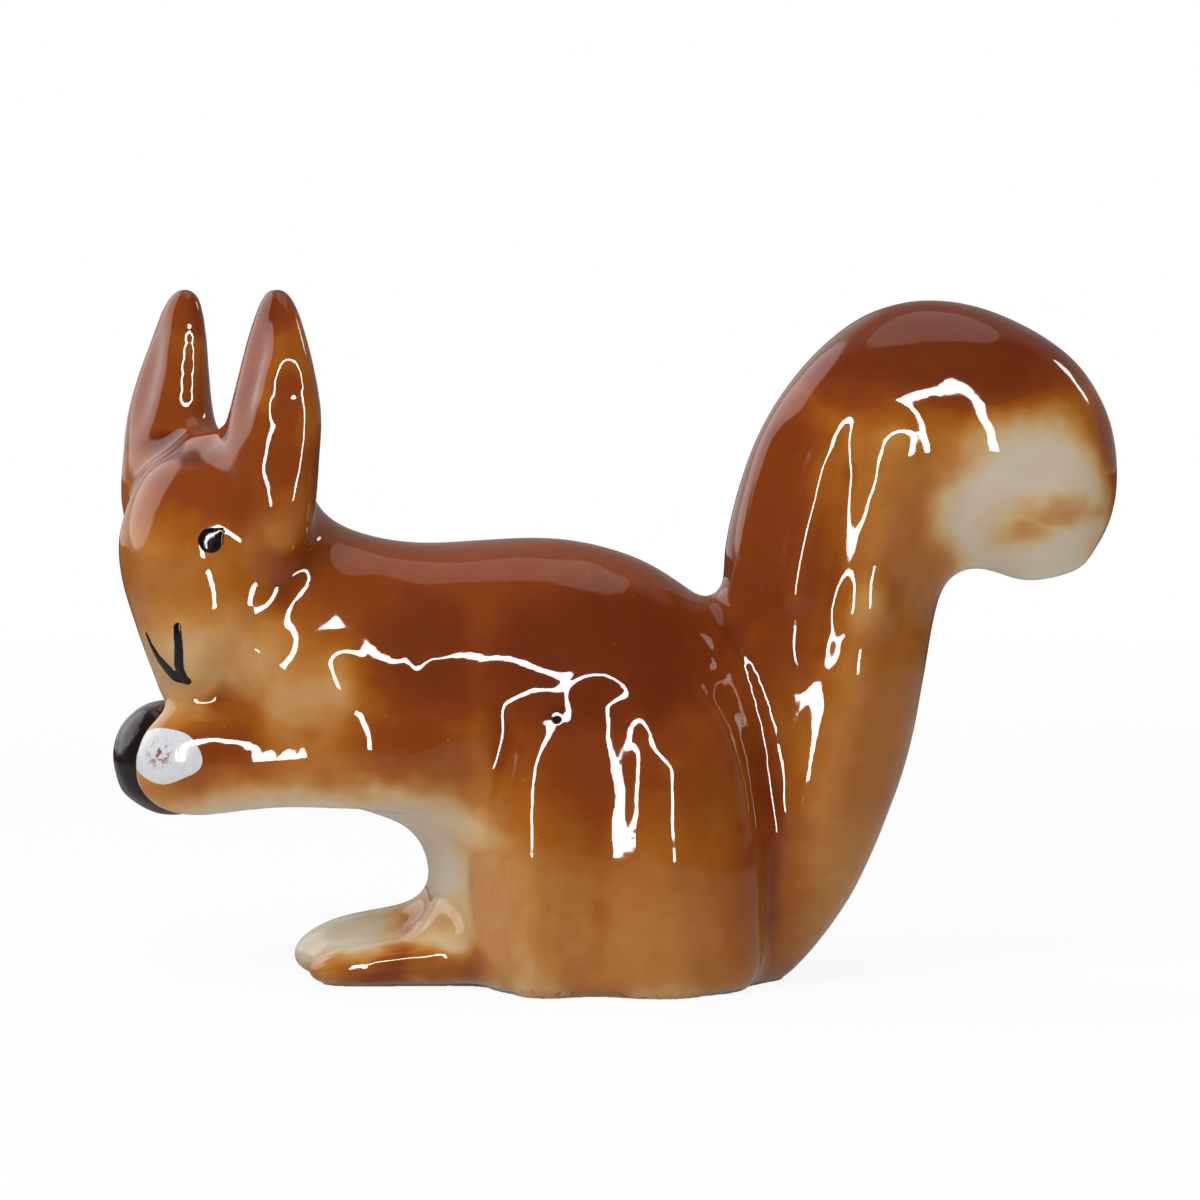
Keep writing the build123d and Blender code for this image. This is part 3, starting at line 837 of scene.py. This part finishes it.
WHITE, RUST = (pigment(218, 220, 225), pigment(210, 212, 215)), pigment(132, 78, 36)
white = enamel_finish("white_enamel", WHITE)
place = white.place()
grit = white.ease(white.noise(place, 2.6, detail=4.0), 0.50, 0.56)
white.tint(RUST, grit * white.spot(place, SPECKLE_MIDDLE, SPECKLE_REACH, SPECKLE_SOFT))
film("enamelled_paw_patch", share, white.material, "white_enamel", "left_paw_patch")

# %% [markdown]
# ## Mouth
# The mouth is a V of two brush strokes. The near one is straight, the far one curves round the
# muzzle and thins out. A curve with a thickness would stand off the round muzzle like a wire. A
# brush leaves a row of overlapping dabs instead: each is a flat lens set on the skin, turned to its
# slope, and all of them melt together.

# %% Mouth
DAB_THICKNESS, DAB_VOXEL, DAB_STEP = 0.10, 0.055, 0.12
MOUTH_ROUNDS, LAST_ROUNDS = 12, 4
NEAR_STROKE = ((-31.2, 25.2, 0.36), (-31.1, 23.6, 0.42), (-31.1, 22.4, 0.44), (-30.8, 21.6, 0.44))
FAR_STROKE = ((-33.4, 24.75, 0.14), (-33.0, 23.8, 0.28), (-32.5, 22.9, 0.46), (-31.9, 22.2, 0.58),
              (-31.4, 21.7, 0.58), (-30.6, 21.4, 0.48))  # x, z, radius of the brush


def dab(enamel, x, z, radius):
    """One dab where the camera sees the skin at this place of the picture."""
    spot, slope, _, _ = skin_tree.ray_cast(camera_place, Vector((x, 0, z)) - camera_place)
    made = bmesh.ops.create_icosphere(enamel, subdivisions=2, radius=1.0)["verts"]
    bmesh.ops.scale(enamel, vec=(radius, radius, DAB_THICKNESS), verts=made)
    bmesh.ops.rotate(enamel, matrix=slope.to_track_quat("Z", "Y").to_matrix(), verts=made)
    bmesh.ops.translate(enamel, vec=spot, verts=made)


enamel = bmesh.new()
for path in (NEAR_STROKE, FAR_STROKE):
    for start, finish in zip(path, path[1:]):
        start, finish = Vector(start), Vector(finish)
        count = math.ceil((finish - start).length / DAB_STEP)
        for number in range(count + 1):
            dab(enamel, *start.lerp(finish, number / count))
mouth = Clay(melted(as_mesh(enamel), DAB_VOXEL))
mouth.sponge(MOUTH_ROUNDS)
mouth.sponge(LAST_ROUNDS, keep=False)
mouth.thing("brushed_mouth", black.material, "black_enamel", "mouth_line")

# %% [markdown]
# ## The nut
# The nut is a ball of clay in dark brown glaze, pressed between the paws. A new sphere would do,
# but it is made from a copy of its measured mesh, melted and sponged as the skin was. Slow waves
# keep it from looking like a ball from a lathe.

# %% Nut
NUT_VOXEL, NUT_ROUNDS = 0.16, 30
NUT_SWELLS = ((0.06, 5.0), (0.02, 2.2))  # height and length of the waves
NUT_DARK, NUT_WARM = pigment(30, 22, 22), pigment(66, 36, 24)
NUT_ROUGHNESS, CLOUD_ROUGHNESS, NUT_DEPTH = 0.05, 0.06, 0.05
nut = Clay(melted(joined(["nut"]), NUT_VOXEL))
nut.sponge(NUT_ROUNDS)
swell(nut, 0.0, NUT_SWELLS)
shell = Finish("dark_enamel", IOR=1.5)
place = shell.place()
cloudy = shell.noise(place, 0.6, detail=4.0)
shell.tint(NUT_DARK, 1.0)
shell.tint(NUT_WARM, shell.ease(cloudy, 0.5, 0.75))
shell.set("Roughness", NUT_ROUGHNESS + CLOUD_ROUGHNESS * cloudy)
shell.rough(shell.noise(place, 1.2, detail=3.0), NUT_DEPTH)
nut.thing("glazed_nut", shell.material, "dark_enamel", "nut")

# %% [markdown]
# ## Strip lamp
# Thin bright lines run over every bulge of the real figure. They are the mirror image of its lamp,
# so the lamp has to be a shape too: one strip, bent to an arch around the camera, which stands on
# the table. An Area light has no such shape. A mesh that glows has, and it is hidden from the
# camera and from matt surfaces, so that it only shows in the glaze.

# %% Strip lamp
ARCH_REACH, ARCH_LEG, ARCH_AWAY = 0.112, 0.065, 0.22
STRIP_WIDTH, STRIP_GLOW = 0.028, 34.0
ARCH_STEPS = 32
LAMP_WHITE = (1.0, 0.97, 0.95, 1.0)


def stage_mesh(name, corners, faces, material):
    """A mesh of the stage, which isn't part of the figure."""
    mesh = bpy.data.meshes.new(name)
    mesh.from_pydata(corners, [], faces)
    mesh.materials.append(material)
    made = bpy.data.objects.new(name, mesh)
    bpy.context.scene.collection.objects.link(made)
    return made


outline = [(-ARCH_REACH, 0.0)]
for step in range(ARCH_STEPS + 1):
    turn = math.pi * (1 - step / ARCH_STEPS)
    outline.append((ARCH_REACH * math.cos(turn), ARCH_LEG + ARCH_REACH * math.sin(turn)))
outline.append((ARCH_REACH, 0.0))
corners, faces = [], []
for number, (x, z) in enumerate(outline):
    out = Vector((x, 0, max(z - ARCH_LEG, 0))).normalized() * STRIP_WIDTH
    corners += [(x, -ARCH_AWAY, z), (x + out.x, -ARCH_AWAY, z + out.z)]
    if number:
        faces.append((2 * number - 2, 2 * number - 1, 2 * number + 1, 2 * number))
strip = Finish("strip_glow")
beam = strip.node("Emission", {}, {"Color": LAMP_WHITE, "Strength": STRIP_GLOW})
strip.join(beam, strip.tree.nodes["Material Output"].inputs["Surface"])
arch = stage_mesh("arch_lamp", corners, faces, strip.material)
arch.visible_camera = False
arch.visible_diffuse = False
print("faces of the strip:", len(faces))

# %% [markdown]
# ## Table
# The table has to be as white as the background and still carry the figure's shadow. For camera
# rays most of it glows at a strength of 1, which is white, and the rest is an ordinary lit surface.
# Glossy rays see a dimmer glow, which fades away from the figure into the dim room.

# %% Table
TABLE_SIZE = 3.0
SEEN_GLOW, FAR_SEEN_GLOW, SHADOW_REACH = 0.90, 1.0, (0.08, 0.45)  # for the camera
MIRRORED_GLOW, FAR_MIRRORED_GLOW, LIT_REACH = 0.32, 0.05, (0.10, 0.22)  # for the glaze
TABLE_WHITE, TABLE_ROUGHNESS = (0.88, 0.88, 0.88, 1.0), 0.9
table = Finish("white_table", Roughness=TABLE_ROUGHNESS)
table.set("Base Color", TABLE_WHITE)
seen = table.node("LightPath", out="Is Camera Ray")
reflected = table.node("LightPath", out="Is Glossy Ray")
away = table.vector("LENGTH", table.node("TexCoord", out="Object"), out="Value")
shown = table.ease(away, *SHADOW_REACH, SEEN_GLOW, FAR_SEEN_GLOW)
share = seen * shown + reflected
mirrored = table.ease(away, *LIT_REACH, MIRRORED_GLOW, FAR_MIRRORED_GLOW)
power = seen + reflected * mirrored
lit = Wire(table, table.shader.outputs[0])
glow = table.node("Emission", {}, {"Color": power, "Strength": 1.0})
surface = table.node("MixShader", {}, {0: share, 1: lit, 2: glow})
table.join(surface, table.tree.nodes["Material Output"].inputs["Surface"])
square = [(x * TABLE_SIZE, y * TABLE_SIZE, 0) for x, y in ((-1, -1), (1, -1), (1, 1), (-1, 1))]
stage_mesh("table", square, [(0, 1, 2, 3)], table.material)
print("table nodes:", len(table.tree.nodes))

# %% [markdown]
# ## Fill lamp
# The strip alone would leave the colours too dark. One wide lamp above the camera lights them
# evenly. It is hidden from glossy rays, because the real glaze shows no second lamp.

# %% Fill lamp
FILL_PLACE, FILL_SIZE, FILL_POWER = Vector((-0.15, -0.35, 0.45)), 0.5, 3.0
fill_data = bpy.data.lights.new("fill_lamp", "AREA")
fill_data.shape = "DISK"
fill_data.size = FILL_SIZE
fill_data.energy = FILL_POWER
fill = bpy.data.objects.new("fill_lamp", fill_data)
bpy.context.scene.collection.objects.link(fill)
fill.location = FILL_PLACE
fill.rotation_mode = "QUATERNION"
fill.rotation_quaternion = (AIM - FILL_PLACE).to_track_quat("-Z", "Y")
fill.visible_glossy = False
print("fill lamp, W:", fill_data.energy)

# %% [markdown]
# ## Room
# The world is the room. It is dim on the side of the camera, so that dark glaze stays dark, and
# white behind, above and to the left, which gives the pale veil at the edges of each curve. A
# picture of a studio could do this, but a few soft spots on the sky do it too, and can be moved
# one by one. For the camera the room is white.

# %% Room
world = bpy.data.worlds.new("room")
bpy.context.scene.world = world
world.use_nodes = True
room = Bench(world.node_tree)
direction = room.node("TexCoord", out="Generated")
DIM, BEHIND = 0.04, 0.30
PANELS = (  # direction, reach, softness and brightness
    ((-0.86, 0.50, 0.50), (0.50, 0.50, 0.45), 0.10, 1.80),  # window, behind on the left
    ((-0.45, 0.80, 0.35), (0.35, 0.45, 0.55), 0.30, 0.75),  # wall beside the window
    ((0.00, 0.10, 1.00), (0.45, 0.45, 0.20), 0.08, 0.90),  # ceiling
    ((0.79, 0.29, 0.54), (0.07, 0.07, 0.20), 0.10, 12.0),  # small lamp, behind on the right
)
bright = room.ease(room.part(direction, "Y"), -0.05, 0.30, DIM, BEHIND)
for centre, reach, soft, power in PANELS:
    bright = bright.at_least(room.spot(direction, centre, reach, soft) * power)
bright = bright.at_least(room.node("LightPath", out="Is Camera Ray"))
room.join(bright, world.node_tree.nodes["Background"].inputs["Color"])
room.join(1.0, world.node_tree.nodes["Background"].inputs["Strength"])
bpy.context.scene.view_settings.view_transform = "Standard"
print("room nodes:", len(room.tree.nodes))
